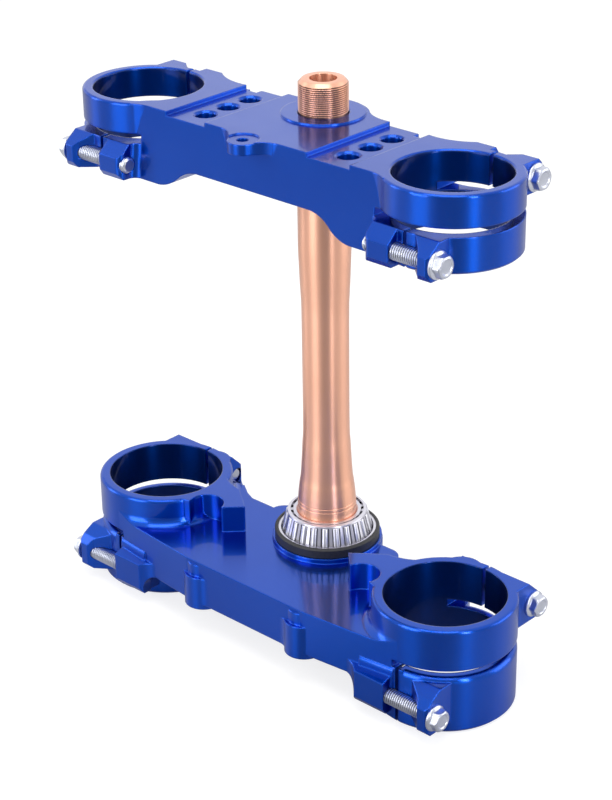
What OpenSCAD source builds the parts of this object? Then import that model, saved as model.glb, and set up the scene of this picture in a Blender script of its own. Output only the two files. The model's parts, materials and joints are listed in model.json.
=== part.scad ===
/* [Fork tubes] */
// Distance between the two fork tube centres
fork_pitch = 192; // [186:1:204]
// Distance of the fork tube centres ahead of the steering axis
fork_offset = 22; // [20:0.5:25]
// Radius of the upper fork bores
upper_bore_r = 27; // [25.5:0.5:27.5]
// Radius of the lower fork bores
lower_bore_r = 30; // [28.5:0.5:30.5]
// Wall thickness of the fork rings
ring_wall = 5.4; // [5:0.1:6]

/* [Upper clamp] */
// Height of the upper clamp underside above the lower clamp underside
upper_z = 228; // [222:1:240]
// Height of the lower ring of the upper clamp
upper_low_h = 17; // [16:0.5:18]
// Height of the upper ring of the upper clamp
upper_top_h = 15; // [14:0.5:16]
// Distance of the front wall ahead of the steering axis
upper_front_y = 46.8; // [45:0.2:48]
// Distance of the rear wall behind the steering axis
upper_rear_y = 10.3; // [9.3:0.2:11.1]
// Radius of the rear bulge round the stem
upper_hub_r = 21.8; // [21:0.2:24]
// Distance by which the front wall leans out towards its lower edge
front_draft = 4.2; // [3:0.2:5]
// Height of the arch under the middle of the upper clamp
arch_rise = 10.5; // [8:0.5:11.5]
// Half width of the flat part of that arch
arch_flat = 35; // [33:0.5:36]
// Width over each handlebar seat channel
channel_w = 25.6; // [24:0.2:27]
// Depth of the handlebar seat channels
channel_depth = 2.1; // [1:0.1:3]
// Distance between the left and the right handlebar holes
bar_pitch = 90; // [88:1:92]
// Distance between neighbouring handlebar holes in a row
bar_step = 15; // [14:0.5:15.5]
// Radius of the handlebar holes
bar_hole_r = 5; // [4:0.25:5.25]
// Radius of the front tab round its hole
tab_r = 7.2; // [6.5:0.1:8]
// Distance of the front tab from the middle, to the left
tab_left = 3; // [0:0.5:4]
// Thickness of the front tab
tab_t = 6; // [4:0.5:8]
// Radius of the hole in the front tab
tab_hole_r = 2.75; // [2:0.25:3]

/* [Lower clamp] */
// Height of the lower ring of the lower clamp
lower_low_h = 24.4; // [23.4:0.2:25]
// How far the lower rings reach below their ears
lower_lip = 6.3; // [5:0.1:7]
// Height of the upper ring of the lower clamp
lower_top_h = 21.5; // [20.5:0.5:22.5]
// Height of the plate between the fork rings
plate_z = 35.5; // [34.5:0.5:37]
// Height of the plate underside
plate_low_z = 11.5; // [10:0.5:13]
// Distance of the front wall ahead of the steering axis
lower_front_y = 63; // [62:0.5:64]
// Half width of the straight part of the front wall
lower_front_w = 40; // [38:1:44]
// Distance of the rear wall behind the steering axis
lower_rear_y = 4.4; // [3:0.2:5]
// Width of the hub outside the bearing lip
lower_hub_w = 0.4; // [0.2:0.1:1.6]
// Distance between the two fender bosses
fender_pitch = 70; // [68:1:72]
// Radius of the fender bosses
fender_r = 10; // [9.4:0.2:10.4]
// Radius of the fender bolt holes
fender_hole_r = 3; // [2.5:0.25:3.5]

/* [Pinch ears] */
// Width of the vertical slits in the fork rings
slit_w = 2; // [1.5:0.25:3]
// Distance of the head seat from the fork centre plane, upper clamp
upper_seat_u = 19.4; // [19:0.1:19.8]
// The same distance for the lower clamp
lower_seat_u = 24.9; // [24.3:0.1:25.3]
// Distance of the far face of the fixed ear from that plane, upper clamp
upper_far_u = 18.8; // [18.3:0.1:19.3]
// The same distance for the lower clamp
lower_far_u = 21.2; // [20.7:0.1:21.7]
// Distance of the bolt axis outside the upper fork bore
upper_bolt_out = 6.7; // [6.4:0.1:7]
// Distance of the bolt axis outside the lower fork bore
lower_bolt_out = 7.4; // [7.1:0.1:7.7]
// Height of the slot in the upper clamp rings
upper_slot_h = 4; // [3:0.5:5]
// Height of the slot in the lower clamp rings
lower_slot_h = 4.1; // [3.1:0.5:5.1]

/* [Stem] */
// Radius of the stem thread
thread_r = 12; // [11:0.5:12]
// Height of the stem above the upper clamp
stem_above = 17; // [14:0.5:24]
// Radius of the stem at its waist
waist_r = 11.75; // [11:0.25:12]
// Radius of the stem at the upper bearing
upper_seat_r = 13; // [12.75:0.25:13.5]
// Radius of the stem at the lower bearing
lower_seat_r = 15; // [14.75:0.25:15.25]
// Radius of the hole along the stem
stem_hole_r = 6.65; // [5:0.05:8]

/* [Bearing] */
// Height of the bearing inner race
race_h = 17; // [16.5:0.25:17.5]
// Number of taper rollers
roller_count = 23; // [20:1:23]
// Radius of a roller at half length
roller_r = 2.2; // [2.1:0.05:2.25]
// Length of a roller
roller_len = 10; // [9:0.25:10.5]
// Width of the seal with its steel ring
seal_w = 3.2; // [2.8:0.1:3.8]
// Height of the rubber seal
seal_h = 5; // [4:0.5:5.5]

/* [Pinch bolts] */
// Radius of the bolt shank
bolt_r = 4; // [3.5:0.25:4]
// Width across the flats of the bolt head
head_af = 10; // [9.4:0.2:10.6]
// Height of the bolt head with its flange
head_h = 5.5; // [5:0.25:6.5]
// Radius of the flange of the bolt head
flange_r = 6.6; // [6.3:0.1:6.8]

/* [Hidden] */
$fn = 96;
// Colours of the materials
blue = "#2848A8";
copper = "#D2916C";
zinc = "#C8CCE0";
steel = "#9A9DA6";
black = "#1A1A1D";
// Overlap that joins solids and lets cuts run past faces
eps = 0.05;
far = 300;
// Clearance of a seated shaft, of a pinch bolt and of a roller
seat_gap = 0.02;
bolt_gap = 0.05;
roll_gap = 0.06;
// Fork tube centre
fork_x = fork_pitch / 2;
fork_y = -fork_offset;
// Rings of the upper clamp
upper_ring_r = upper_bore_r + ring_wall;
upper_h = upper_low_h + upper_slot_h + upper_top_h;
upper_top_z = upper_z + upper_h;
upper_v = upper_bore_r + upper_bolt_out;
cutter_r = 20;
// Rings of the lower clamp
lower_ring_r = lower_bore_r + ring_wall;
lower_h = lower_low_h + lower_slot_h + lower_top_h;
lower_v = lower_bore_r + lower_bolt_out;
// Ears: front faces outside the bolt axis, corner radius, run of the free ear's face
fixed_nose = 4.8;
free_nose = 6.3;
lower_fixed_nose = 5;
lower_free_nose = 5.6;
ear_round = 3.5;
face_run = 8;
// Concave arc of the upper clamp's rear wall beside each ring
rear_arc_r = 30;
rear_arc_x = fork_x - 34;
rear_low_y = upper_rear_y - 2.9;
// Bolt heights above the underside of each ear
upper_bolt_h = 7.2;
upper_rear_bolt_h = 7.1;
lower_bolt_h = 9;
lower_rear_bolt_h = 8.8;
lower_rear_far_u = lower_far_u - 5.1;
upper_bolt_len = upper_seat_u + upper_far_u + 1.8;
lower_bolt_len = lower_seat_u + lower_far_u - 2.6;
lower_rear_bolt_len = lower_seat_u + lower_rear_far_u - 1.5;
// Depth of the spot face on the tab
spot_depth = 0.7;
// Stem heights
stem_top_z = upper_top_z + stem_above;
shoulder_z = upper_z + arch_rise;
// Taper of the bearing: slope of the roller axis and of the roller side
axis_tilt = 12.5;
roller_taper = 1.9;
roller_mid_z = plate_z + 10.8;
roller_mid_r = lower_seat_r + 5.15;
cage_tilt = 14.7;
cage_t = 0.8;
cage_mid_r = roller_mid_r + 1.3;
seal_z = plate_z + 2.5;
lip_in_r = lower_seat_r + 8.8;
seal_r = lip_in_r + seal_w;
lip_out_r = seal_r + 1.2;
lower_hub_r = lip_out_r + lower_hub_w;
// Flange at the lower end of the stem
foot_r = lower_seat_r + 4;
foot_h = 4;

function tangent_dx(r, f, dy) = sqrt((r + f) * (r + f) - dy * dy);

// Both sides of the steering axis
module sides() {
    children();
    mirror([1, 0, 0]) children();
}

// Both fork centres, with u pointing outwards
module forks() {
    sides() translate([fork_x, fork_y, 0]) children();
}

// Infill between a ring and a straight wall, with a concave arc of radius f
module web(cx, cy, r, wall_y, f, side = 0) {
    s = side != 0 ? side : wall_y < cy ? -1 : 1;
    dy = wall_y + s * f - cy;
    dx = tangent_dx(r, f, dy);
    fx = cx - dx;
    k = r / (r + f);
    difference() {
        polygon([[fx, wall_y], [cx, s < 0 ? max(cy, wall_y) : min(cy, wall_y)],
            [cx - dx * k, cy + dy * k]]);
        translate([fx, wall_y + s * f]) circle(r = f);
    }
}

// Ring solid, rounded at the top edge and chamfered at the lower one
module ring_solid(r, z0, z1, top, low) {
    h = z1 - z0;
    translate([0, 0, z0]) rotate_extrude() {
        polygon([[0, 0], [r - low, 0], [r, low], [r, h - top], [0, h - top]]);
        square([r - top, h]);
        translate([r - top, h - top]) intersection() {
            circle(r = top);
            square(top + 1);
        }
    }
}

// Fixed ear in plan, ring centre at the origin, ears towards +Y
module fixed_ear(far_u, in_u, w) {
    translate([-far_u, 8]) square([far_u - in_u, w - ear_round - 8]);
    translate([-far_u + ear_round, 8]) square([far_u - in_u - ear_round, w - 8]);
    translate([-far_u + ear_round, w - ear_round]) circle(r = ear_round);
}

// Free ear in plan, with its slanted flank and the head seat
module free_ear(root_u, seat_u, w, ring_r) {
    polygon([
        [root_u, 8], [root_u, sqrt(ring_r * ring_r - root_u * root_u) - 0.6],
        [seat_u - face_run, w - 3], [seat_u - face_run + 2, w], [seat_u - 1.5, w],
        [seat_u, w - 1.5], [seat_u, 8]]);
}

// Side profile of an ear as distance from the ring axis and height
function ear_side(w, face_top, top_v, top_h) = [
    [8, 0], [w - 2.2, 0], [w, 3], [w, face_top], [top_v, top_h], [8, top_h]];

// Plan outline of an ear met with its side profile
module ear(profile, z0, h) {
    intersection() {
        translate([0, 0, z0]) linear_extrude(h) children();
        translate([-40, 0, z0]) rotate([90, 0, 90]) linear_extrude(80) polygon(profile);
    }
}

// Hole for a pinch bolt along X, its run past the fixed ear and the room for its head
module bolt_cut(v, z, seat_u, end_u) {
    translate([-end_u, v, z]) rotate([0, 90, 0])
        cylinder(r = bolt_r + bolt_gap, h = end_u + seat_u + 1);
    translate([seat_u, v, z]) rotate([0, 90, 0]) cylinder(r = flange_r + 0.7, h = 14);
}

// Upper clamp in plan without its ears: middle part, hub and rear wall
module upper_middle() {
    polygon([
        [-fork_x, fork_y], [-fork_x + 24, -upper_front_y], [fork_x - 24, -upper_front_y],
        [fork_x, fork_y], [rear_arc_x + 15, rear_low_y - 1], [rear_arc_x - 12, rear_low_y - 1],
        [rear_arc_x - 12, upper_rear_y], [-rear_arc_x + 12, upper_rear_y],
        [-rear_arc_x + 12, rear_low_y - 1], [-rear_arc_x - 15, rear_low_y - 1]]);
    circle(r = upper_hub_r);
    sides() mirror([1, 0, 0]) web(0, 0, upper_hub_r - 0.05, upper_rear_y, cutter_r);
}

// The same up to the slot
module upper_low_plan() {
    upper_middle();
    sides() web(fork_x, fork_y, upper_ring_r - 0.1, rear_low_y - 1, rear_arc_r);
}

// Leaning front wall, as wide as half_w each way, between two heights
module leaning_wall(half_w, z0, h) {
    intersection() {
        translate([-fork_x, -far / 2, upper_z + z0]) cube([2 * fork_x, far / 2 - 30, h]);
        translate([0, -upper_front_y, upper_top_z])
            rotate([-atan(front_draft / upper_h), 0, 0]) translate([0, 0, -2 * upper_h])
                linear_extrude(3 * upper_h) {
                    translate([-half_w, 0]) square([2 * half_w, 12]);
                    sides() children();
                }
    }
}

// The same above the slot: the front wall curves into the rings, the rear wall into the ears
module upper_top_plan() {
    cut_y = rear_low_y + rear_arc_r - 0.03;
    difference() {
        union() {
            intersection() {
                upper_middle();
                translate([-fork_x + 1, -upper_front_y - 1]) square([2 * fork_x - 2, far]);
            }
            sides() web(fork_x, fork_y, upper_ring_r - 0.1, -upper_front_y, cutter_r);
            sides() polygon([
                [rear_arc_x - 8, 0], [rear_arc_x - 6, rear_low_y + 2], [fork_x - 12, 12],
                [fork_x - 5, 8], [fork_x, fork_y]]);
        }
        sides() translate([rear_arc_x, cut_y]) circle(r = rear_arc_r);
    }
}

// Space under the arch of the upper clamp, drawn in X and Z
module arch_space() {
    end_x = arch_flat + 27;
    mid_x = (arch_flat + end_x) / 2;
    half = arch_rise / 2;
    run = mid_x - arch_flat;
    r = (run * run + half * half) / arch_rise;
    // The two arcs cross at a very small angle instead of only touching
    drop = 0.03;
    translate([-mid_x + 2, -5]) square([2 * mid_x - 4, 5 + half]);
    translate([-arch_flat, 0]) square([2 * arch_flat, arch_rise]);
    sides() {
        intersection() {
            translate([arch_flat, arch_rise - r + 0.02]) circle(r = r);
            translate([arch_flat - 2, half - 3]) square([run + 10, half + 4]);
        }
        difference() {
            translate([mid_x - 3, -5]) square([run + 3, 5 + half]);
            translate([end_x, r - drop]) circle(r = r);
        }
    }
}

module upper_clamp() {
    g = upper_low_h + upper_slot_h;
    fixed_w = upper_v + fixed_nose;
    free_w = upper_v + free_nose;
    side_x = fork_x - upper_far_u;
    tab_y = -upper_front_y - 4.7;
    color(blue) difference() {
        union() {
            translate([0, 0, upper_z]) linear_extrude(upper_low_h) upper_low_plan();
            translate([0, 0, upper_z + upper_low_h])
                linear_extrude(upper_h - upper_low_h) upper_top_plan();
            leaning_wall(side_x + 1, 0, upper_low_h) difference() {
                translate([side_x - 4.5, -4.6]) square([5.3, 6]);
                translate([side_x - 4.5, -4.6]) circle(r = 4.6);
            }
            leaning_wall(side_x + 2, upper_low_h, upper_h - upper_low_h);
            forks() ring_solid(upper_ring_r, upper_z, upper_top_z, 1.3, 1);
            forks() mirror([0, 1, 0]) ear(ear_side(fixed_w, 11, upper_ring_r - 0.4, upper_low_h),
                upper_z, upper_low_h) fixed_ear(upper_far_u, 4.3, fixed_w);
            forks() mirror([0, 1, 0]) ear(ear_side(free_w, 11, upper_ring_r - 0.4, upper_low_h),
                upper_z, upper_low_h) free_ear(5.2, upper_seat_u, free_w, upper_ring_r);
            forks() ear(ear_side(fixed_w, 11, fixed_w - 2.6, upper_top_h),
                upper_z + g, upper_top_h) difference() {
                    fixed_ear(upper_far_u, 4.3, fixed_w);
                    translate([rear_arc_x - fork_x, rear_low_y + rear_arc_r - 0.03 - fork_y])
                        circle(r = rear_arc_r);
                }
            forks() ear(ear_side(free_w, 11, free_w - 4, upper_top_h),
                upper_z + g, upper_top_h) free_ear(5.2, upper_seat_u, free_w, upper_ring_r);
            translate([0, 0, upper_top_z]) cylinder(r = 20.3, h = 0.9);
            translate([-tab_left, 0, upper_top_z - tab_t]) linear_extrude(tab_t) {
                translate([0, tab_y]) circle(r = tab_r);
                sides() web(0, tab_y, tab_r - 0.05, -upper_front_y + 0.03, 15, -1);
                translate([-15, -upper_front_y - 0.8]) square([30, 2]);
            }
        }
        translate([-far / 2, -far / 2, upper_z]) rotate([90, 0, 0])
            translate([far / 2, 0, -far]) linear_extrude(far) arch_space();
        forks() translate([0, 0, upper_z - 1]) cylinder(r = upper_bore_r, h = upper_h + 2);
        forks() translate([0, 0, upper_top_z - 0.8])
            cylinder(r1 = upper_bore_r, r2 = upper_bore_r + 1, h = 1);
        forks() translate([-22, -60, upper_z + upper_low_h]) cube([80, 120, upper_slot_h]);
        forks() translate([-slit_w / 2, -60, upper_z - 1]) cube([slit_w, 60, upper_low_h + 2]);
        forks() translate([-slit_w / 2, 0, upper_z + g - 1]) cube([slit_w, 60, upper_top_h + 2]);
        forks() mirror([0, 1, 0])
            bolt_cut(upper_v, upper_z + upper_bolt_h, upper_seat_u, upper_far_u + 10);
        forks() bolt_cut(upper_v, upper_z + g + upper_rear_bolt_h, upper_seat_u, upper_far_u);
        forks() translate([-upper_far_u - 12, upper_v, upper_z + g + upper_rear_bolt_h])
            rotate([0, 90, 0]) cylinder(r = bolt_r + 1, h = 13);
        sides() translate([bar_pitch / 2 - channel_w / 2, -far / 2, upper_top_z - channel_depth])
            cube([channel_w, far, channel_depth + 1]);
        sides() for (k = [-1 : 1])
            translate([bar_pitch / 2, -18.2 + k * bar_step, 0]) {
                translate([0, 0, upper_z - 1]) cylinder(r = bar_hole_r, h = upper_h + 2);
                translate([0, 0, upper_top_z - channel_depth - 1])
                    cylinder(r1 = bar_hole_r, r2 = bar_hole_r + 1.2, h = 1.2);
            }
        cylinder(r = thread_r + 0.08, h = far);
        translate([0, 0, upper_top_z + 0.3]) cylinder(r1 = thread_r, r2 = thread_r + 1, h = 1);
        translate([-tab_left, tab_y, upper_top_z - tab_t - 0.5]) cylinder(r = tab_hole_r, h = far);
        translate([-tab_left, tab_y, upper_top_z - spot_depth]) cylinder(r = tab_r + 0.7, h = far);
    }
}

// Angle of the lower clamp's front wall, which runs straight up to the ring
front_dx = fork_x - lower_front_w;
front_dy = lower_front_y - fork_offset;
front_c = sqrt(front_dx * front_dx + front_dy * front_dy);
front_a = atan2(front_dy, front_dx) - asin((lower_ring_r - 0.15) / front_c);

// Plan of the lower plate without its ears
module lower_plan() {
    r = lower_ring_r - 0.15;
    t = sqrt(front_c * front_c - r * r);
    tx = lower_front_w + t * cos(front_a);
    ty = -lower_front_y + t * sin(front_a);
    rear_w = fork_x - 38;
    polygon([
        [-tx, ty], [-lower_front_w, -lower_front_y], [lower_front_w, -lower_front_y],
        [tx, ty], [fork_x, fork_y], [fork_x - 12.5, 12], [fork_x - 16, 18],
        [fork_x - 19.5, 15.6], [rear_w + 6, lower_rear_y + 2.6], [rear_w, lower_rear_y],
        [34, lower_rear_y], [34, 12.2], [-34, 12.2], [-34, lower_rear_y],
        [-rear_w, lower_rear_y], [-rear_w - 6, lower_rear_y + 2.6], [-fork_x + 19.5, 15.6],
        [-fork_x + 16, 18], [-fork_x + 12.5, 12], [-fork_x, fork_y]]);
    circle(r = lower_hub_r);
    sides() translate([33.9, 3.7]) circle(r = 8.55);
}

// Raised arm from a lower ring towards the stem, right side
module land_plan() {
    difference() {
        union() {
            polygon([
                [fork_x - 60.3, -23.8], [fork_x - 52.6, -31.5], [fork_x - 49, -34],
                [fork_x - 28, -40], [fork_x, fork_y], [fork_x - 6, 10], [fork_x - 17, 5],
                [fork_x - 26, 5], [fork_x - 43.5, -11]]);
            translate([fork_x - 9.5, 2.5]) circle(r = 10.2);
        }
        translate([fork_x - 42.4, -34.3]) circle(r = 9.2);
        translate([fork_x - 46, 14.5]) circle(r = 26.4);
    }
}

// Concave foot of an outer wall, drawn as distance from the wall and height
module foot(r) {
    difference() {
        translate([-1, -1]) square([r + 1, r + 1]);
        translate([r, r]) circle(r = r);
    }
}

module lower_clamp() {
    g = lower_low_h + lower_slot_h;
    fixed_w = lower_v + lower_fixed_nose;
    free_w = lower_v + lower_free_nose;
    ear_x = fork_x - lower_far_u;
    color(blue) difference() {
        union() {
            translate([0, 0, plate_low_z]) linear_extrude(plate_z - plate_low_z) lower_plan();
            forks() ring_solid(lower_ring_r, g, lower_h, 1.6, 0.1);
            forks() ring_solid(lower_ring_r, -lower_lip, lower_low_h, 3.2, 1.6);
            forks() translate([0, 0, 1]) cylinder(r = lower_ring_r - 4, h = lower_h - 2);
            sides() translate([0, 0, plate_z - 1]) linear_extrude(lower_h - plate_z + 1)
                land_plan();
            forks() mirror([0, 1, 0]) ear(ear_side(fixed_w, 17.5, lower_ring_r + 1.2, 19.6),
                0, 19.6) fixed_ear(lower_far_u, 2.8, fixed_w);
            // Flank that runs from the ear into the wall, rounded below
            forks() difference() {
                mirror([0, 1, 0]) ear(ear_side(fixed_w, 17.5, lower_ring_r + 1.2, 19.6), 0, 19.6)
                    difference() {
                        translate([-lower_far_u - 9, lower_ring_r]) square([14, fixed_w - lower_ring_r]);
                        translate([-lower_far_u - 8.8, lower_ring_r + 14.9]) circle(r = 12);
                    }
                translate([-lower_far_u - 9, 0, plate_low_z - 8]) rotate([90, 0, 0]) {
                    cylinder(r = 8, h = far);
                    translate([-5, -20, 0]) cube([13, 20, far]);
                    translate([-5, -20, 0]) cube([5, 28, far]);
                }
            }
            forks() mirror([0, 1, 0]) ear([
                [8, 0], [free_w - 2.7, 0], [free_w, 2.8], [free_w, 14.5], [free_w - 4, 18.6],
                [lower_ring_r - 3, 22.2], [8, 22.2]], 0, 22.2)
                free_ear(8, lower_seat_u, free_w, lower_ring_r);
            // Block between ear and slot, proud of the wall, with a rounded top edge
            sides() translate([lower_front_w, -lower_front_y, 0]) rotate(front_a)
                translate([ear_x - lower_front_w, 0, 0]) rotate([90, 0, 90])
                    linear_extrude(lower_far_u - 1.5) {
                        translate([-1, plate_low_z]) square([7, lower_low_h - plate_low_z - 3]);
                        translate([2, plate_low_z]) square([4, lower_low_h - plate_low_z]);
                        translate([2, lower_low_h - 3]) circle(r = 3);
                    }
            forks() ear([
                [8, 0], [fixed_w - 2.2, 0], [fixed_w, 2.8], [fixed_w, 12.5],
                [lower_ring_r - 2, lower_top_h], [8, lower_top_h]], g, lower_top_h)
                fixed_ear(lower_rear_far_u, 2.8, fixed_w);
            forks() ear([
                [8, 0], [free_w - 2.7, 0], [free_w, 2.8], [free_w, 12.5],
                [lower_ring_r - 2, lower_top_h], [8, lower_top_h]], g, lower_top_h)
                free_ear(8, lower_seat_u, free_w, lower_ring_r);
            // Concave foot of each ring on the plate
            intersection() {
                translate([0, 0, plate_z - 0.5]) linear_extrude(6) lower_plan();
                forks() translate([0, 0, plate_z - 0.05]) rotate_extrude()
                    translate([lower_ring_r - 0.05, 0]) foot(5);
            }
            sides() translate([fender_pitch / 2, -lower_front_y + 7, 0]) {
                translate([0, 0, 9]) cylinder(r = fender_r, h = 18);
                translate([0, 0, 20]) cylinder(r = fender_r - 2, h = 13.5);
            }
            sides() translate([0, 0, plate_low_z]) linear_extrude(27 - plate_low_z)
                web(fender_pitch / 2, -lower_front_y + 7, fender_r - 0.05, -lower_front_y, 8);
            cylinder(r = foot_r + 6, h = plate_z);
            translate([0, 0, plate_z - 1]) cylinder(r = lip_out_r, h = seal_z - plate_z + 1);
        }
        translate([0, 0, plate_z]) cylinder(r = lip_in_r, h = 10);
        translate([0, 0, -1]) cylinder(r = lower_seat_r + seat_gap, h = far);
        translate([0, 0, -1]) cylinder(r = foot_r + seat_gap, h = foot_h + 1);
        forks() translate([0, 0, -lower_lip - 1]) cylinder(r = lower_bore_r, h = lower_h + lower_lip + 2);
        forks() translate([-3, -60, lower_low_h]) cube([80, 60, lower_slot_h]);
        forks() translate([-18, 0, lower_low_h]) cube([80, 60, lower_slot_h]);
        forks() translate([-slit_w / 2, -60, -lower_lip - 1])
            cube([slit_w, 60, lower_low_h + lower_lip + 3]);
        forks() translate([-slit_w / 2, 0, g - 1]) cube([slit_w, 60, lower_top_h + 2]);
        forks() mirror([0, 1, 0])
            bolt_cut(lower_v, lower_bolt_h, lower_seat_u, lower_far_u - 2.1);
        forks() bolt_cut(lower_v, g + lower_rear_bolt_h, lower_seat_u, lower_rear_far_u + 8);
        sides() translate([fender_pitch / 2, -lower_front_y + 7, -1])
            cylinder(r = fender_hole_r, h = 26);
    }
}

module steering_stem() {
    c = 2;
    color(copper) rotate_extrude() polygon([
        [stem_hole_r, 0], [foot_r, 0], [foot_r, foot_h], [lower_seat_r, foot_h],
        [lower_seat_r, plate_z + race_h + 4], [lower_seat_r - 0.5, plate_z + race_h + 11],
        [waist_r + 2.1, plate_z + race_h + 16.5], [waist_r + 1.4, plate_z + race_h + 22],
        [waist_r + 0.5, plate_z + race_h + 38], [waist_r, 104], [waist_r, upper_z - 68],
        [waist_r + 0.3, upper_z - 56], [waist_r + 0.6, upper_z - 50],
        [upper_seat_r, upper_z - 32], [upper_seat_r, shoulder_z],
        [thread_r, shoulder_z], [thread_r, upper_top_z - 2.4], [thread_r - 0.4, upper_top_z - 2],
        [thread_r - 0.4, upper_top_z + 1], [thread_r, upper_top_z + 1], [thread_r, stem_top_z - c],
        [thread_r - c, stem_top_z],
        [stem_hole_r, stem_top_z]]);
}

// A point of the bearing section, s along the roller axis upwards, t outwards from it
function on_axis(s, t) = [
    roller_mid_r - s * sin(axis_tilt) + t * cos(axis_tilt),
    roller_mid_z + s * cos(axis_tilt) + t * sin(axis_tilt)];
function roller_at(s) = roller_r - s * tan(roller_taper);

module bearing_inner_race() {
    half = roller_len / 2 + 0.15;
    top = on_axis(half, -roller_at(half) - roll_gap);
    low = on_axis(-half, -roller_at(-half) - roll_gap);
    rib_low = on_axis(-half, -0.3);
    rib_top = on_axis(half, -roller_at(half) + 0.35);
    color(steel) rotate_extrude() polygon([
        [lower_seat_r + seat_gap, plate_z], [lip_in_r - 1.4, plate_z], [rib_low[0], rib_low[1]],
        low, top, rib_top, [rib_top[0], plate_z + race_h],
        [lower_seat_r + 0.8, plate_z + race_h],
        [lower_seat_r + seat_gap, plate_z + race_h - 0.8]]);
}

// One roller shape, grown by a clearance
module roller_body(grow) {
    r0 = roller_at(-roller_len / 2) + grow;
    r1 = roller_at(roller_len / 2) + grow;
    translate([roller_mid_r, 0, roller_mid_z]) rotate([0, -axis_tilt, 0])
        translate([0, 0, -roller_len / 2 - grow])
            cylinder(r1 = r0, r2 = r1, h = roller_len + 2 * grow, $fn = 32);
}

module roller(i) {
    color(zinc) rotate([0, 0, 90 + i * 360 / roller_count]) roller_body(0);
}

module bearing_cage() {
    dz = 6.1;
    dr = dz * tan(cage_tilt);
    t = cage_t / 2 / cos(cage_tilt);
    z0 = roller_mid_z - dz;
    z1 = roller_mid_z + dz;
    color(steel) difference() {
        rotate_extrude() polygon([
            [cage_mid_r + dr - t, z0], [cage_mid_r + dr + t, z0],
            [cage_mid_r - dr + t, z1], [cage_mid_r - dr - t - 0.7, z1 + 0.4],
            [cage_mid_r - dr - t - 0.7, z1 - 0.4], [cage_mid_r - dr - t, z1 - 0.6]]);
        for (i = [1 : roller_count]) rotate([0, 0, 90 + i * 360 / roller_count]) {
            roller_body(0.1);
            translate([roller_mid_r, 0, roller_mid_z]) rotate([0, -axis_tilt, 0])
                translate([0, -1.9, -roller_len / 2 - 0.1]) cube([6, 3.8, roller_len + 0.2]);
        }
    }
}

module bearing_seal() {
    color(black) rotate_extrude() polygon([
        [lip_in_r + 1.42, seal_z], [seal_r, seal_z], [seal_r, seal_z + seal_h - 0.8],
        [seal_r - 0.8, seal_z + seal_h], [lip_in_r + 1.42, seal_z + seal_h]]);
}

module seal_ring() {
    color(steel) rotate_extrude() polygon([
        [lip_in_r, seal_z], [lip_in_r + 1.4, seal_z], [lip_in_r + 1.4, seal_z + seal_h - 0.6],
        [lip_in_r, seal_z + seal_h - 0.6]]);
}

// Flanged hexagon bolt along X, under the head at u = seat_u
module pinch_bolt(v, z, seat_u, len) {
    corner = head_af / 2 / cos(30);
    color(zinc) translate([seat_u, v, z]) rotate([0, 90, 0]) difference() {
        union() {
            translate([0, 0, -len]) cylinder(r1 = bolt_r - 0.8, r2 = bolt_r, h = 0.8);
            translate([0, 0, -len + 0.8]) cylinder(r = bolt_r, h = len - 0.8 + eps);
            cylinder(r = flange_r, h = 1);
            translate([0, 0, 1]) cylinder(r1 = flange_r, r2 = flange_r - 1.4, h = 0.7);
            intersection() {
                cylinder(r = corner, h = head_h, $fn = 6);
                cylinder(r1 = corner + 3.5, r2 = corner - 0.5, h = head_h);
            }
        }
        translate([0, 0, head_h - 0.6]) cylinder(r1 = corner - 2.6, r2 = corner - 1.6, h = 0.7);
    }
}

module bolt_at(side, rear, v, z, seat_u, len) {
    mirror([side < 0 ? 1 : 0, 0, 0]) translate([fork_x, fork_y, 0])
        mirror([0, rear ? 0 : 1, 0]) pinch_bolt(v, z, seat_u, len);
}

upper_front_z = upper_z + upper_bolt_h;
upper_back_z = upper_z + upper_low_h + upper_slot_h + upper_rear_bolt_h;
lower_back_z = lower_low_h + lower_slot_h + lower_rear_bolt_h;

upper_clamp();
lower_clamp();
steering_stem();
bearing_inner_race();
bearing_cage();
bearing_seal();
seal_ring();
bolt_at(-1, false, upper_v, upper_front_z, upper_seat_u, upper_bolt_len);  // upper_front_left_bolt
bolt_at(1, false, upper_v, upper_front_z, upper_seat_u, upper_bolt_len);  // upper_front_right_bolt
bolt_at(-1, true, upper_v, upper_back_z, upper_seat_u, upper_bolt_len);  // upper_rear_left_bolt
bolt_at(1, true, upper_v, upper_back_z, upper_seat_u, upper_bolt_len);  // upper_rear_right_bolt
bolt_at(-1, false, lower_v, lower_bolt_h, lower_seat_u, lower_bolt_len);  // lower_front_left_bolt
bolt_at(1, false, lower_v, lower_bolt_h, lower_seat_u, lower_bolt_len);  // lower_front_right_bolt
bolt_at(-1, true, lower_v, lower_back_z, lower_seat_u, lower_rear_bolt_len);  // lower_rear_left_bolt
bolt_at(1, true, lower_v, lower_back_z, lower_seat_u, lower_rear_bolt_len);  // lower_rear_right_bolt
for (i = [1 : roller_count])
    roller(i);
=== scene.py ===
import bmesh
import bpy
import json
import math
from mathutils import Matrix, Vector


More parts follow.
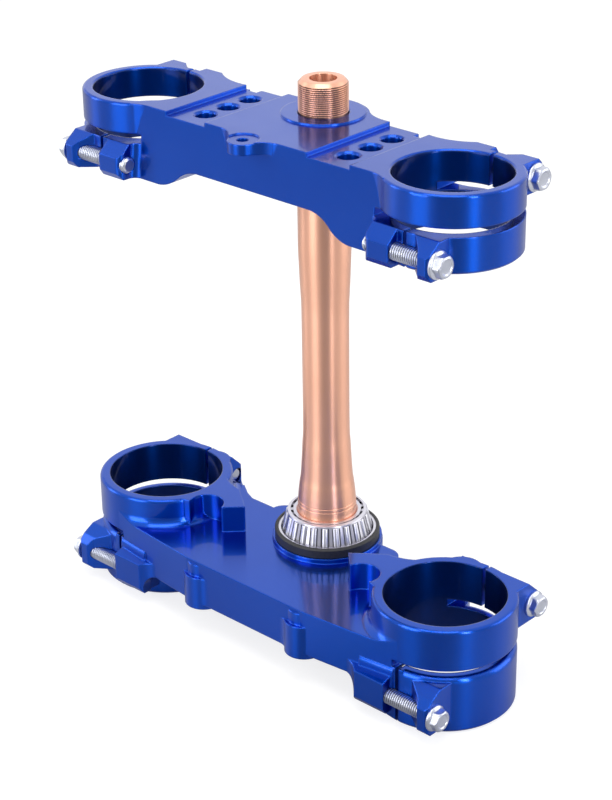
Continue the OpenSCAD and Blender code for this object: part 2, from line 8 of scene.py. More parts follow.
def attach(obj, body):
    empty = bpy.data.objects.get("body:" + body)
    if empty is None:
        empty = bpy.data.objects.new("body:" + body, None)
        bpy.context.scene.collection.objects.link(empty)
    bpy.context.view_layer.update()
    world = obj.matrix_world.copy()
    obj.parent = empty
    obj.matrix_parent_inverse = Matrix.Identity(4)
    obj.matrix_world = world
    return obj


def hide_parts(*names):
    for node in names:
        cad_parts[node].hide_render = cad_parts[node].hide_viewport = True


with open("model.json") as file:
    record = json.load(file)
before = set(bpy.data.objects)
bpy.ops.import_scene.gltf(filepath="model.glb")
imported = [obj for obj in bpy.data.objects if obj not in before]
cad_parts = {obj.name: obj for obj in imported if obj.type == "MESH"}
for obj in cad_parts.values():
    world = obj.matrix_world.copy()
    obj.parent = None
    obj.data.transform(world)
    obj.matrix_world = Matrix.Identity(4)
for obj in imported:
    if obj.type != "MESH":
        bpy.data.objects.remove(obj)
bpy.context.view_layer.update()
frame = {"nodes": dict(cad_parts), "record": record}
MM = 0.001
scene = bpy.context.scene
scene.view_settings.view_transform = "Standard"

# ------------------------------------------- sizes in mm, tilts in degrees
FORK_X, FORK_Y = 96.0, -22.0
UPPER_BORE_R, LOWER_BORE_R, BORE_MARGIN = 27.0, 30.0, 0.3
BETWEEN_CLAMPS_Z, CLAMP_TOP = 150.0, 264.0

STEM_TOP, HOLLOW_R, SHOULDER_Z = 281.0, 6.65, 238.5
STEM_THREAD_Z, STEM_PITCH, STEM_FADE = (265.0, 279.4), 1.0, 0.4
STEM_ROOT_R, STEM_CREST_R, STEM_RELIEF_R = 11.4, 12.0, 11.6
STEM_SIDES = 128

ROLLERS, ROLLER_R, ROLLER_LEN, ROLLER_TAPER, ROLLER_TILT = 23, 2.2, 10.0, 1.9, 12.5
ROLLER_MID = (20.15, 46.3)  # radius and height of a roller's middle
ROLLER_EDGE, ROLLER_SIDES = 0.35, 48
# Windows of the cage: their heights, and the skin's radius at the rollers' middle
WINDOW_Z, CAGE_SLOPE, CAGE_SKIN_R = (42.6, 51.3), 0.262, 21.6

BOLT_R, BOLT_PITCH, BOLT_SIDES = 4.0, 1.25, 48
BOLT_ROOT_R, BOLT_SHANK_R, BOLT_TIP_R, BOLT_CHAMFER = BOLT_R - 0.65, BOLT_R - 0.6, BOLT_R - 1.1, 0.5
BOLT_THREAD_END = -2.0  # from the underside of the head
HEAD_AF, HEAD_H, FLANGE_R, DISH_DEPTH = 10.0, 5.5, 6.6, 0.55
UPPER_SEAT, UPPER_LEN, UPPER_V = 19.4, 40.0, 33.7
LOWER_SEAT, LOWER_LEN, LOWER_REAR_LEN, LOWER_V = 24.9, 43.5, 39.5, 37.4
# Painted shade on the bolts' thread roots starts only beyond this, so the tips stay bright
TIPS_IN_X = 79.0  # bolt tips lie further in than this and stay bright
# Rear or front ear, distance from the fork's axis, height, seat beside the fork's axis, length
BOLTS = {
    "upper_front": (False, UPPER_V, 235.2, UPPER_SEAT, UPPER_LEN),
    "upper_rear": (True, UPPER_V, 256.1, UPPER_SEAT, UPPER_LEN),
    "lower_front": (False, LOWER_V, 9.0, LOWER_SEAT, LOWER_LEN),
    "lower_rear": (True, LOWER_V, 37.3, LOWER_SEAT, LOWER_REAR_LEN)}

# ------------------------------------------------------- levels of the looks and of painted shade
# Painted shade: these levels darken the colour where shade falls between and inside parts
ROOT_SHADE = 0.7  # thread roots lose this share of their colour
# Painted shade: edges of the cage's windows lose this share of their colour
WINDOW_SHADE = 0.75  # and edges of the cage's windows this
# Painted shade: roller flanks keep this share of their colour
FLANK_SHADE_LEVEL = 0.06  # roller flanks keep this share
# Painted shade: the fork bores' colour is darkened to this share
BORE_SHADE_LEVEL = 0.42  # and fork bores this


# ------------------------------------------------------------ material helpers
def new_material(name):
    mat = bpy.data.materials.new(name)
    mat.use_nodes = True
    tree = mat.node_tree
    return mat, tree, tree.nodes["Principled BSDF"]


def feed(tree, socket, value):
    """Give a socket a number or a vector, or link another socket to it."""
    if isinstance(value, (int, float, tuple)):
        socket.default_value = value
    else:
        tree.links.new(value, socket)


def math_node(tree, op, a, b=0.0):
    n = tree.nodes.new("ShaderNodeMath")
    n.operation = op
    feed(tree, n.inputs[0], a)
    feed(tree, n.inputs[1], b)
    return n.outputs[0]


def times(tree, a, b):
    return math_node(tree, "MULTIPLY", a, b)


def vector_node(tree, op, a, b=None):
    n = tree.nodes.new("ShaderNodeVectorMath")
    n.operation = op
    feed(tree, n.inputs[0], a)
    if b is not None:
        feed(tree, n.inputs[1], b)
    return n.outputs["Value" if op == "DOT_PRODUCT" else "Vector"]


def dimmed(tree, tint, shade):
    """A colour times a level."""
    n = tree.nodes.new("ShaderNodeVectorMath")
    n.operation = "SCALE"
    tree.links.new(tint, n.inputs[0])
    tree.links.new(shade, n.inputs["Scale"])
    return n.outputs["Vector"]


def object_point(tree, scale=(1, 1, 1)):
    coord = tree.nodes.new("ShaderNodeTexCoord")
    mapping = tree.nodes.new("ShaderNodeMapping")
    mapping.inputs["Scale"].default_value = scale
    tree.links.new(coord.outputs["Object"], mapping.inputs["Vector"])
    return mapping.outputs["Vector"]


def axes_of(tree):
    parts = tree.nodes.new("ShaderNodeSeparateXYZ")
    tree.links.new(object_point(tree), parts.inputs[0])
    return tuple(parts.outputs[axis] for axis in "XYZ")


def noise(tree, vector, scale, detail):
    n = tree.nodes.new("ShaderNodeTexNoise")
    n.inputs["Scale"].default_value = scale
    n.inputs["Detail"].default_value = detail
    n.inputs["Roughness"].default_value = 0.5
    tree.links.new(vector, n.inputs["Vector"])
    return n.outputs["Fac"]


def ramp(tree, fac, low, high):
    """A colour between two, over the middle of a noise's range."""
    n = tree.nodes.new("ShaderNodeValToRGB")
    n.color_ramp.elements[0].position = 0.3
    n.color_ramp.elements[1].position = 0.7
    n.color_ramp.elements[0].color = low
    n.color_ramp.elements[1].color = high
    tree.links.new(fac, n.inputs["Fac"])
    return n.outputs["Color"]


def mapped(tree, value, low, high, to_low, to_high):
    """A range of values mapped to another one, and held at its ends."""
    n = tree.nodes.new("ShaderNodeMapRange")
    for key, number in (("From Min", low), ("From Max", high), ("To Min", to_low), ("To Max", to_high)):
        n.inputs[key].default_value = number
    tree.links.new(value, n.inputs["Value"])
    return n.outputs["Result"]


def spread(tree, fac, low, high):
    return mapped(tree, fac, 0.0, 1.0, low, high)


def distance(tree, a, b, at=(0.0, 0.0)):
    """Distance of the point (a, b) from a place given in mm."""
    da = math_node(tree, "SUBTRACT", a, at[0] * MM)
    db = math_node(tree, "SUBTRACT", b, at[1] * MM)
    return math_node(tree, "SQRT", math_node(tree, "ADD", times(tree, da, da), times(tree, db, db)))


def between(tree, value, low, high):
    """1 where the value lies between two sizes in mm."""
    return times(tree, math_node(tree, "GREATER_THAN", value, low * MM),
                 math_node(tree, "LESS_THAN", value, high * MM))


def darkened(tree, dark, here):
    """A level of 1, less by `dark` where `here` is 1."""
    return math_node(tree, "SUBTRACT", 1.0, times(tree, dark, here))


def rounded_normal(tree, radius, height, strength, depth):
    """Small edge radius with a fine surface relief on it; both sizes in m."""
    bevel = tree.nodes.new("ShaderNodeBevel")
    bevel.samples = 6
    bevel.inputs["Radius"].default_value = radius
    bump = tree.nodes.new("ShaderNodeBump")
    bump.inputs["Strength"].default_value = strength
    bump.inputs["Distance"].default_value = depth
    tree.links.new(height, bump.inputs["Height"])
    tree.links.new(bevel.outputs["Normal"], bump.inputs["Normal"])
    return bump.outputs["Normal"]


def tool_marks(tree, bsdf, amount):
    """Level tool marks round upright faces, which spread light up and down.

    Gives how level a face is, from 0 for an upright one to 1.
    """
    geo = tree.nodes.new("ShaderNodeNewGeometry")
    cross = vector_node(tree, "CROSS_PRODUCT", (0, 0, 1), geo.outputs["Normal"])
    # The small shift keeps the tangent from vanishing on level faces
    tree.links.new(vector_node(tree, "ADD", cross, (0.015, 0.013, 0.0)), bsdf.inputs["Tangent"])
    bsdf.inputs["Anisotropic"].default_value = amount
    bsdf.inputs["Anisotropic Rotation"].default_value = 0.25
    parts = tree.nodes.new("ShaderNodeSeparateXYZ")
    tree.links.new(geo.outputs["Normal"], parts.inputs[0])
    return math_node(tree, "ABSOLUTE", parts.outputs["Z"])


# --------------------------------------------------- painted shade set by position
def inside_fork_bores(tree):
    """1 on the walls of the four fork bores, where painted shade darkens the colour; 0 elsewhere."""
    x, y, z = axes_of(tree)
    away = distance(tree, math_node(tree, "ABSOLUTE", x), y, (FORK_X, FORK_Y))
    upper = math_node(tree, "GREATER_THAN", z, BETWEEN_CLAMPS_Z * MM)
    edge = math_node(tree, "SUBTRACT", (LOWER_BORE_R + BORE_MARGIN) * MM,
                     times(tree, upper, (LOWER_BORE_R - UPPER_BORE_R) * MM))
    return math_node(tree, "LESS_THAN", away, edge)


def bolt_root_shade(tree):
    """Painted shade: the roots of the bolts' threads are darkened; heads and tips aren't."""
    x, y, z = axes_of(tree)
    near = None
    for rear, v, height, _, _ in BOLTS.values():
        r = distance(tree, y, z, (FORK_Y + (v if rear else -v), height))
        near = r if near is None else math_node(tree, "MINIMUM", near, r)
    dark = mapped(tree, near, (BOLT_R - 0.55) * MM, (BOLT_R - 0.08) * MM, ROOT_SHADE, 0.0)
    here = times(tree, between(tree, near, BOLT_R - 1.05, BOLT_R - 0.05),
                 between(tree, math_node(tree, "ABSOLUTE", x), TIPS_IN_X, FORK_X + UPPER_SEAT))
    return darkened(tree, dark, here)


def stem_root_shade(tree):
    """Painted shade: the roots of the stem's thread are darkened."""
    x, y, z = axes_of(tree)
    r = distance(tree, x, y)
    dark = mapped(tree, r, (STEM_CREST_R - 0.5) * MM, (STEM_CREST_R - 0.05) * MM, ROOT_SHADE, 0.0)
    here = times(tree, between(tree, r, STEM_CREST_R - 1.0, STEM_CREST_R),
                 between(tree, z, CLAMP_TOP, STEM_TOP - 1.7))
    return darkened(tree, dark, here)


def off_roller(tree):
    """Distance round the bearing from the nearest roller's axis, and r and z.

    The distance runs from 0 to 0.5 of the rollers' pitch.
    """
    x, y, z = axes_of(tree)
    turn = math_node(tree, "SUBTRACT", math_node(tree, "ARCTAN2", y, x), math.pi / 2)
    turn = times(tree, turn, ROLLERS / (2 * math.pi))
    away = math_node(tree, "FRACT", math_node(tree, "ADD", turn, ROLLERS + 0.5))
    away = math_node(tree, "ABSOLUTE", math_node(tree, "SUBTRACT", away, 0.5))
    return away, distance(tree, x, y), z


def roller_flank_shade(tree):
    """Painted shade: rollers are darkened where they dip into the cage."""
    away, _, _ = off_roller(tree)
    return mapped(tree, away, 0.2, 0.31, 1.0, FLANK_SHADE_LEVEL)


def window_edge_shade(tree):
    """Painted shade: cage windows have darkened edges; the race and the ring beside them have none."""
    away, r, z = off_roller(tree)
    dark = mapped(tree, away, 0.34, 0.4, WINDOW_SHADE, 0.0)
    lean = times(tree, math_node(tree, "SUBTRACT", z, ROLLER_MID[1] * MM), CAGE_SLOPE)
    outside = math_node(tree, "GREATER_THAN", math_node(tree, "ADD", r, lean), CAGE_SKIN_R * MM)
    return darkened(tree, dark, times(tree, between(tree, z, *WINDOW_Z), outside))


# ------------------------------------------------------------------- materials
def anodised(name):
    """Blue anodised metal, rougher on upright faces, with painted shade darkening its colour in the
    fork bores.
    """
    mat, tree, bsdf = new_material(name)
    fine = noise(tree, object_point(tree), scale=1400.0, detail=2.0)
    cloud = noise(tree, object_point(tree), scale=18.0, detail=3.0)
    lines = noise(tree, object_point(tree, (1, 1, 60)), scale=60.0, detail=2.0)
    tint = ramp(tree, cloud, (0.000, 0.056, 0.430, 1), (0.001, 0.067, 0.485, 1))
    # Painted shade: the colour is darkened inside the fork bores
    shade = spread(tree, inside_fork_bores(tree), 1.0, BORE_SHADE_LEVEL)
    tree.links.new(dimmed(tree, tint, shade), bsdf.inputs["Base Color"])
    bsdf.inputs["Metallic"].default_value = 1.0
    bsdf.inputs["Coat Weight"].default_value = 0.4
    bsdf.inputs["Coat Roughness"].default_value = 0.06
    flat = tool_marks(tree, bsdf, amount=0.85)
    rough = math_node(tree, "ADD", spread(tree, flat, 0.35, 0.2), spread(tree, lines, -0.05, 0.05))
    tree.links.new(rough, bsdf.inputs["Roughness"])
    normal = rounded_normal(tree, 0.0011, fine, strength=0.05, depth=0.00005)
    tree.links.new(normal, bsdf.inputs["Normal"])
    tree.links.new(normal, bsdf.inputs["Coat Normal"])
    return mat


def turned(name, low, high, rough, shade, coat=0.0):
    """Lathe-turned metal: rings round Z in the relief and in the roughness; `shade` paints shade into
    its colour.
    """
    mat, tree, bsdf = new_material(name)
    rings = noise(tree, object_point(tree, (0.02, 0.02, 1)), scale=900.0, detail=2.0)
    cloud = noise(tree, object_point(tree), scale=22.0, detail=3.0)
    # Painted shade from `shade` darkens the colour
    tint = dimmed(tree, ramp(tree, cloud, low, high), shade(tree))
    tree.links.new(tint, bsdf.inputs["Base Color"])
    bsdf.inputs["Metallic"].default_value = 1.0
    tool_marks(tree, bsdf, amount=0.8)
    bsdf.inputs["Coat Weight"].default_value = coat
    bsdf.inputs["Coat Roughness"].default_value = 0.1
    tree.links.new(spread(tree, rings, rough - 0.05, rough + 0.07), bsdf.inputs["Roughness"])
    normal = rounded_normal(tree, 0.0003, rings, strength=0.08, depth=0.00005)
    tree.links.new(normal, bsdf.inputs["Normal"])
    return mat


def zinc(name):
    mat, tree, bsdf = new_material(name)
    grain = noise(tree, object_point(tree), scale=900.0, detail=3.0)
    cloud = noise(tree, object_point(tree), scale=120.0, detail=3.0)
    tint = ramp(tree, cloud, (0.54, 0.57, 0.67, 1), (0.66, 0.68, 0.77, 1))
    # Painted shade darkens the roots of the threads
    tree.links.new(dimmed(tree, tint, bolt_root_shade(tree)), bsdf.inputs["Base Color"])
    bsdf.inputs["Metallic"].default_value = 1.0
    tree.links.new(spread(tree, grain, 0.24, 0.38), bsdf.inputs["Roughness"])
    normal = rounded_normal(tree, 0.0002, grain, strength=0.04, depth=0.00002)
    tree.links.new(normal, bsdf.inputs["Normal"])
    return mat


def rubber(name):
    mat, tree, bsdf = new_material(name)
    grain = noise(tree, object_point(tree), scale=1200.0, detail=3.0)
    tint = ramp(tree, grain, (0.010, 0.010, 0.012, 1), (0.022, 0.022, 0.025, 1))
    tree.links.new(tint, bsdf.inputs["Base Color"])
    tree.links.new(spread(tree, grain, 0.42, 0.58), bsdf.inputs["Roughness"])
    normal = rounded_normal(tree, 0.0004, grain, strength=0.1, depth=0.00005)
    tree.links.new(normal, bsdf.inputs["Normal"])
    return mat


MATS = {
    "clamp_blue": anodised("clamp_blue"),
    "stem": turned("stem", (0.89, 0.47, 0.32, 1), (0.94, 0.51, 0.36, 1), 0.36, stem_root_shade, coat=0.3),
    "bearing_steel": turned("bearing_steel", (0.66, 0.65, 0.74, 1), (0.74, 0.73, 0.80, 1), 0.30,
                            window_edge_shade),
    "roller_steel": turned("roller_steel", (0.70, 0.70, 0.78, 1), (0.78, 0.78, 0.85, 1), 0.32,
                           roller_flank_shade),
    "seal_rubber": rubber("seal_rubber"),
    "bolt_zinc": zinc("bolt_zinc")}

for part in frame["record"]["subparts"]:
    obj = frame["nodes"][part["node"]]
    mat = MATS[part["material_slot"]]
    for i in range(max(1, len(obj.material_slots))):
        if i >= len(obj.data.materials):
            obj.data.materials.append(mat)
        else:
            obj.material_slots[i].material = mat


# --------------------------------------------------------------- mesh builders
def mesh_object(name, verts, faces, slot, smooth_angle):
    """An object of a mesh in mm, with doubled points merged and its poles closed."""
    mesh = bpy.data.meshes.new(name)
    mesh.from_pydata([tuple(c * MM for c in v) for v in verts], [], faces)
    tidy = bmesh.new()
    tidy.from_mesh(mesh)
    bmesh.ops.remove_doubles(tidy, verts=tidy.verts, dist=1e-7)
    bmesh.ops.dissolve_degenerate(tidy, edges=tidy.edges, dist=1e-7)
    tidy.to_mesh(mesh)
    tidy.free()
    mesh.shade_smooth()
    mesh.set_sharp_from_angle(angle=math.radians(smooth_angle))
    obj = bpy.data.objects.new(name, mesh)
    scene.collection.objects.link(obj)
    mesh.materials.append(MATS[slot])
    return obj


# One turn of a thread: share of the turn, and height between root 0 and crest 1
THREAD = ((0.0, 0.0), (0.12, 0.0), (0.42, 1.0), (0.7, 1.0))


def thread_rows(z0, z1, pitch, root_r, crest_r, end_r, fade_low, fade_high):
    """Rows that climb one pitch in a turn: V thread with flats at crest and root.

    Over the two fade lengths it runs out to the radius of its ends.
    """
    rows = []
    for turn in range(int(math.ceil((z1 - z0) / pitch)) + 2):
        for phase, height in THREAD:
            def row(a, at=turn + phase - 1.0, r=root_r + (crest_r - root_r) * height):
                z = min(z1, max(z0, z0 + pitch * (at + a / (2 * math.pi))))
                fade = max(0.0, min(1.0, (z - z0) / fade_low, (z1 - z) / fade_high))
                return (end_r + (r - end_r) * fade, z)
            rows.append(row)
    return rows


def level_rows(points):
    """Rows that stay level: one ring for each (r, z) of a profile."""
    return [lambda a, p=p: p for p in points]


def lathe_rows(rows, n, helix=(0, 0)):
    """Rows of rings: each row is a function of the angle that gives (r, z).

    The rows from helix[0] to helix[1] climb, so each closes on a later one.
    """
    verts, faces = [], []
    for row in rows:
        for k in range(n):
            a = 2 * math.pi * k / n
            r, z = row(a)
            verts.append((r * math.cos(a), r * math.sin(a), z))

    def after(j, k):
        if k < n - 1:
            return j * n + k + 1
        if helix[0] <= j < helix[1]:
            j = min(j + len(THREAD), helix[1] - 1)
        return j * n
    for j in range(len(rows) - 1):
        for k in range(n):
            faces.append((j * n + k, after(j, k), after(j + 1, k), (j + 1) * n + k))
    return verts, faces


def round_corner(p0, p1, p2, r, steps=4):
    """Points of a small arc that rounds the corner p1 of a profile."""
    a, b, c = Vector(p0), Vector(p1), Vector(p2)
    d0, d1 = (a - b).normalized(), (c - b).normalized()
    cut = min(r, (a - b).length * 0.45, (c - b).length * 0.45)
    out = []
    for i in range(steps + 1):
        t = i / steps
        out.append(tuple((b + d0 * cut) * (1 - t) ** 2 + b * 2 * t * (1 - t) + (b + d1 * cut) * t * t))
    return out


def rounded_profile(points, radii):
    """A profile with its corners rounded, each by its own radius or by none."""
    out = [points[0]]
    for i in range(1, len(points) - 1):
        if radii[i] > 0:
            out += round_corner(points[i - 1], points[i], points[i + 1], radii[i])
        else:
            out.append(points[i])
    out.append(points[-1])
    return out


def smooth_run(points, steps):
    """Catmull-Rom curve through profile points."""
    out = []
    for i in range(len(points) - 1):
        p0 = Vector(points[max(i - 1, 0)])
        p1, p2 = Vector(points[i]), Vector(points[i + 1])
        p3 = Vector(points[min(i + 2, len(points) - 1)])
        for s in range(steps):
            t = s / steps
            out.append(tuple(0.5 * ((2 * p1) + (p2 - p0) * t + (2 * p0 - 5 * p1 + 4 * p2 - p3) * t * t
                                    + (3 * p1 - p0 - 3 * p2 + p3) * t ** 3)))
    out.append(tuple(points[-1]))
    return out


# ----------------------------------------------------------------------- stem
def build_stem():
    """Flange, bearing seat with two fine grooves, waist, shoulder, thread and hollow."""
    low = rounded_profile([
        (HOLLOW_R, 0.0), (19.0, 0.0), (19.0, 4.0), (15.0, 4.0), (15.0, 56.5), (14.96, 57.0),
        (14.76, 57.1), (14.76, 57.5), (14.93, 57.6), (14.86, 59.0), (14.66, 59.1), (14.66, 59.4),
        (14.82, 59.5), (14.5, 63.5)], [0, 0.4, 0.4, 0.2] + [0.0] * 10)
    waist = smooth_run([
        (14.5, 63.5), (13.85, 69.0), (13.15, 74.5), (12.25, 90.5), (11.75, 104.0), (11.75, 160.0),
        (12.05, 172.0), (12.35, 178.0)], steps=5)
    top = rounded_profile([
        (12.35, 178.0), (13.0, 196.0), (13.0, SHOULDER_Z), (STEM_CREST_R, SHOULDER_Z),
        (STEM_CREST_R, 261.6), (STEM_RELIEF_R, 262.0), (STEM_RELIEF_R, STEM_THREAD_Z[0])],
        [0, 2.0, 0.3, 0, 0, 0, 0])
    end = rounded_profile([
        (STEM_RELIEF_R, STEM_THREAD_Z[1]), (10.2, STEM_TOP), (HOLLOW_R, STEM_TOP)], [0, 0.4, 0])
    rows = level_rows(low + waist[1:] + top[1:])
    first = len(rows)
    rows += thread_rows(*STEM_THREAD_Z, STEM_PITCH, STEM_ROOT_R, STEM_CREST_R, STEM_RELIEF_R,
                        fade_low=STEM_FADE, fade_high=STEM_FADE)
    helix = (first, len(rows))
    rows += level_rows(end)
    rows += level_rows([(HOLLOW_R, z) for z in (STEM_TOP - 0.01, 220.0, 110.0, 0.0)])
    verts, faces = lathe_rows(rows, STEM_SIDES, helix)
    obj = mesh_object("stem_turned", verts, faces, "stem", smooth_angle=28.0)
    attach(obj, "clamp_set")
    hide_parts("steering_stem")


# ---------------------------------------------------------------------- bolts
def build_bolt(name, mirrored, rear, v, z, seat, length):
    """Flanged hexagon bolt along local +Z: shank below 0, head above it."""
    tip = -length
    rows = level_rows([(0.0, tip), (BOLT_TIP_R, tip), (BOLT_SHANK_R, tip + BOLT_CHAMFER)])
    first = len(rows)
    rows += thread_rows(tip + BOLT_CHAMFER, BOLT_THREAD_END, BOLT_PITCH, BOLT_ROOT_R, BOLT_R,
                        BOLT_SHANK_R, fade_low=0.9, fade_high=1.5)
    helix = (first, len(rows))
    rows += level_rows(rounded_profile([
        (BOLT_R - 0.1, -1.6), (BOLT_R - 0.1, 0.0), (FLANGE_R, 0.0), (FLANGE_R, 1.0),
        (FLANGE_R - 0.9, 1.55), (5.3, 1.75)], [0, 0, 0.15, 0.35, 0.3, 0]))
    half = HEAD_AF / 2
    corner = half / math.cos(math.pi / 6)

    def hexagon(a, limit):
        b = (a % (math.pi / 3)) - math.pi / 6
        return min(half / math.cos(b), limit)
    # Height, how much the corners are turned off, and how far the flats draw in
    for height, off, draw in (
            (1.8, 0.0, 0.0), (1.95, 0.12, 0.1), (4.4, 0.12, 0.1), (4.8, 0.3, 0.12), (5.2, 0.65, 0.2),
            (HEAD_H - 0.05, 1.1, 0.4)):
        rows.append(lambda a, height=height, limit=corner - off, draw=draw:
                    (hexagon(a, limit) - draw, height))
    dish = HEAD_H - DISH_DEPTH
    rows += level_rows([
        (4.2, HEAD_H), (3.6, HEAD_H - 0.06), (3.1, HEAD_H - 0.45), (2.0, dish), (0.0, dish)])
    verts, faces = lathe_rows(rows, BOLT_SIDES, helix)
    side = -1.0 if mirrored else 1.0
    y = FORK_Y + (v if rear else -v)
    placed = [(side * (FORK_X + seat + p[2]), y + p[0], z + side * p[1]) for p in verts]
    obj = mesh_object(name, placed, faces, "bolt_zinc", smooth_angle=32.0)
    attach(obj, "clamp_set")
    return obj


# -------------------------------------------------------------------- rollers
def build_roller(index):
    """Tapered roller with rounded ends, its axis leaning in towards the top."""
    half, taper = ROLLER_LEN / 2, math.tan(math.radians(ROLLER_TAPER))
    low, top = ROLLER_R + half * taper, ROLLER_R - half * taper
    profile = rounded_profile([(0.0, -half), (low, -half), (top, half), (0.0, half)],
                              [0, ROLLER_EDGE, ROLLER_EDGE, 0])
    verts, faces = lathe_rows(level_rows(profile), ROLLER_SIDES)
    lean = math.radians(ROLLER_TILT)
    turn = math.pi / 2 + index * 2 * math.pi / ROLLERS
    placed = []
    for x, y, z in verts:
        r = ROLLER_MID[0] + x * math.cos(lean) - z * math.sin(lean)
        up = ROLLER_MID[1] + x * math.sin(lean) + z * math.cos(lean)
        placed.append((r * math.cos(turn) - y * math.sin(turn),
                       r * math.sin(turn) + y * math.cos(turn), up))
    obj = mesh_object(f"roller_ground_{index}", placed, faces, "roller_steel", smooth_angle=40.0)
    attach(obj, "roller_cage")
    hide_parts(f"roller_{index}")


build_stem()
for index in range(1, ROLLERS + 1):
    build_roller(index)
for key, (rear, v, z, seat, length) in BOLTS.items():
    for word, mirrored in (("left", True), ("right", False)):
        bolt = build_bolt(f"{key}_{word}_bolt_threaded", mirrored, rear, v, z, seat, length)
        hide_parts(f"{key}_{word}_bolt")

# ---------------------------------------------------------------------- camera
# Fitted to outlines of the photo: place in mm, focal length in its pixels
CAMERA_AT = (638.386, -699.368, 574.642)
CAMERA_RIGHT = (0.735417, 0.677500, -0.012451)
CAMERA_UP = (-0.288102, 0.329256, 0.899215)
FOCAL_PX, PHOTO_HEIGHT_PX, SENSOR = 2103.859, 800, 36.0

cam = bpy.data.cameras.new("camera")
cam.sensor_width = SENSOR
cam.lens = FOCAL_PX / PHOTO_HEIGHT_PX * SENSOR
cam.clip_end = 50.0
camera = bpy.data.objects.new("camera", cam)
scene.collection.objects.link(camera)
right = Vector(CAMERA_RIGHT)
back = right.cross(Vector(CAMERA_UP)).normalized()
up = back.cross(right).normalized()
turn = Matrix((right, up, back)).transposed()
camera.matrix_world = Matrix.Translation(Vector(CAMERA_AT) * MM) @ turn.to_4x4()
scene.camera = camera

# --------------------------------------------------------- floor, world, lamps
FLOOR_Z, FLOOR_HALF = -6.3, 12  # mm, m
FLOOR_ALBEDO, FLOOR_SEEN_ALBEDO, FLOOR_GLOSSY_LESS = 0.72, 0.34, 0.16
FLOOR_SEEN_GLOW, FLOOR_GLOSSY_GLOW = 0.76, 0.08
# Reflections see a darker wedge of floor: where it lies, its soft edge and its depth
WEDGE_TOWARD, WEDGE_EDGE, WEDGE_LESS = (0.674, -0.738, 0.0), (0.82, 0.97), 0.45
# Reflections see a world that brightens towards one side; diffuse light is even
WORLD_TOWARD, WORLD_EDGE, WORLD_GLOSSY = (-0.61, 0.66, 0.44), (-0.95, 0.4), (0.45, 1.1)
WORLD_DIFFUSE = 0.55
LAMPS_AIM = (0, 0, 0.13)
# Name, azimuth and elevation in degrees, distance, width and height in m, power in W
LAMPS = (
    ("panel_left", -98, 18, 1.7, 0.8, 1.2, 12),
    ("strip_right", -18, 18, 1.7, 0.28, 1.2, 9),
    ("panel_right", 45, 15, 1.8, 1.2, 1.2, 8),
    ("panel_far_left", -150, 15, 1.8, 0.5, 1.2, 5),
    ("overhead", -60, 78, 1.8, 1.2, 1.2, 14))


def ray_kind(tree, name):
    for n in tree.nodes:
        if n.bl_idname == "ShaderNodeLightPath":
            return n.outputs[name]
    return tree.nodes.new("ShaderNodeLightPath").outputs[name]


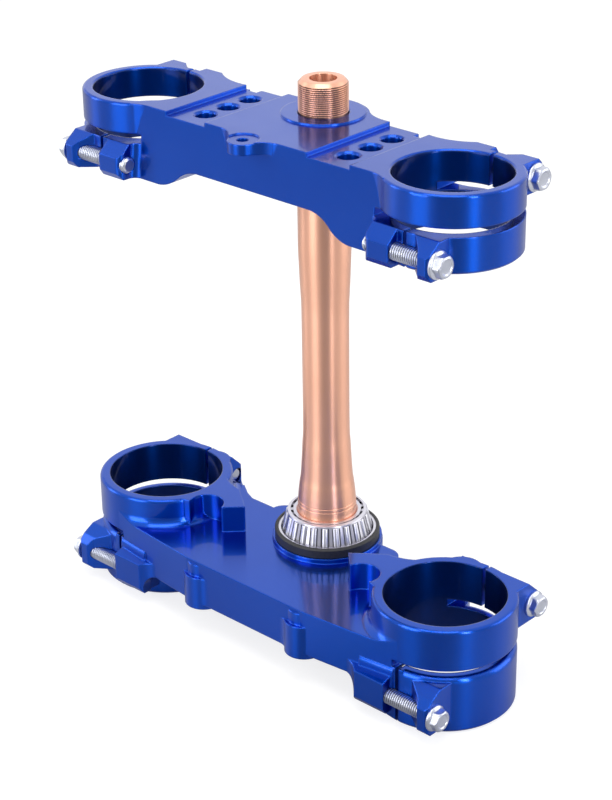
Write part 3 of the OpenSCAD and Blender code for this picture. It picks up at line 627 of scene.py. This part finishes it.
def build_floor():
    mesh = bpy.data.meshes.new("floor")
    h = FLOOR_HALF
    mesh.from_pydata([(-h, -h, 0), (h, -h, 0), (h, h, 0), (-h, h, 0)], [], [(0, 1, 2, 3)])
    floor = bpy.data.objects.new("floor", mesh)
    floor.location = (0, 0, FLOOR_Z * MM)
    scene.collection.objects.link(floor)
    mat, tree, bsdf = new_material("floor_paper")
    bsdf.inputs["Roughness"].default_value = 0.9
    bsdf.inputs["Specular IOR Level"].default_value = 0.0
    seen, glossy = ray_kind(tree, "Is Camera Ray"), ray_kind(tree, "Is Glossy Ray")
    shade = math_node(tree, "ADD", times(tree, seen, FLOOR_SEEN_ALBEDO - FLOOR_ALBEDO), FLOOR_ALBEDO)
    shade = math_node(tree, "SUBTRACT", shade, times(tree, glossy, FLOOR_GLOSSY_LESS))
    paper = noise(tree, object_point(tree), scale=3.0, detail=2.0)
    aside = vector_node(tree, "NORMALIZE", object_point(tree))
    toward = vector_node(tree, "DOT_PRODUCT", aside, WEDGE_TOWARD)
    darker = times(tree, glossy, mapped(tree, toward, *WEDGE_EDGE, 0.0, WEDGE_LESS))
    keep = math_node(tree, "SUBTRACT", 1.0, darker)
    tone = times(tree, times(tree, shade, spread(tree, paper, 0.98, 1.02)), keep)
    grey = tree.nodes.new("ShaderNodeCombineColor")
    for channel in ("Red", "Green", "Blue"):
        tree.links.new(tone, grey.inputs[channel])
    tree.links.new(grey.outputs["Color"], bsdf.inputs["Base Color"])
    bsdf.inputs["Emission Color"].default_value = (1, 1, 1, 1)
    glow = math_node(tree, "ADD", times(tree, seen, FLOOR_SEEN_GLOW),
                     times(tree, times(tree, glossy, keep), FLOOR_GLOSSY_GLOW))
    tree.links.new(glow, bsdf.inputs["Emission Strength"])
    mesh.materials.append(mat)


def build_world():
    world = bpy.data.worlds.new("studio")
    scene.world = world
    world.use_nodes = True
    tree = world.node_tree
    background = tree.nodes["Background"]
    background.inputs["Color"].default_value = (1, 1, 1, 1)
    direction = tree.nodes.new("ShaderNodeTexCoord").outputs["Generated"]
    toward = vector_node(tree, "DOT_PRODUCT", direction, WORLD_TOWARD)
    room = mapped(tree, toward, *WORLD_EDGE, *WORLD_GLOSSY)
    room.node.interpolation_type = "SMOOTHSTEP"
    glossy = math_node(tree, "MAXIMUM", ray_kind(tree, "Is Glossy Ray"),
                       ray_kind(tree, "Is Transmission Ray"))
    plain = times(tree, math_node(tree, "SUBTRACT", 1.0, glossy), WORLD_DIFFUSE)
    level = math_node(tree, "ADD", plain, times(tree, glossy, room))
    level = math_node(tree, "MAXIMUM", level, ray_kind(tree, "Is Camera Ray"))
    tree.links.new(level, background.inputs["Strength"])


def softbox(name, azimuth, elevation, away, width, height, power):
    """A rectangular lamp that looks at the part from a direction."""
    light = bpy.data.lights.new(name, "AREA")
    light.shape = "RECTANGLE"
    light.size = width
    light.size_y = height
    light.energy = power
    obj = bpy.data.objects.new(name, light)
    a, e = math.radians(azimuth), math.radians(elevation)
    target = Vector(LAMPS_AIM)
    side = Vector((math.cos(e) * math.cos(a), math.cos(e) * math.sin(a), math.sin(e)))
    place = target + away * side
    obj.location = place
    obj.rotation_euler = (place - target).to_track_quat("Z", "Y").to_euler()
    scene.collection.objects.link(obj)


build_floor()
build_world()
for lamp in LAMPS:
    softbox(*lamp)
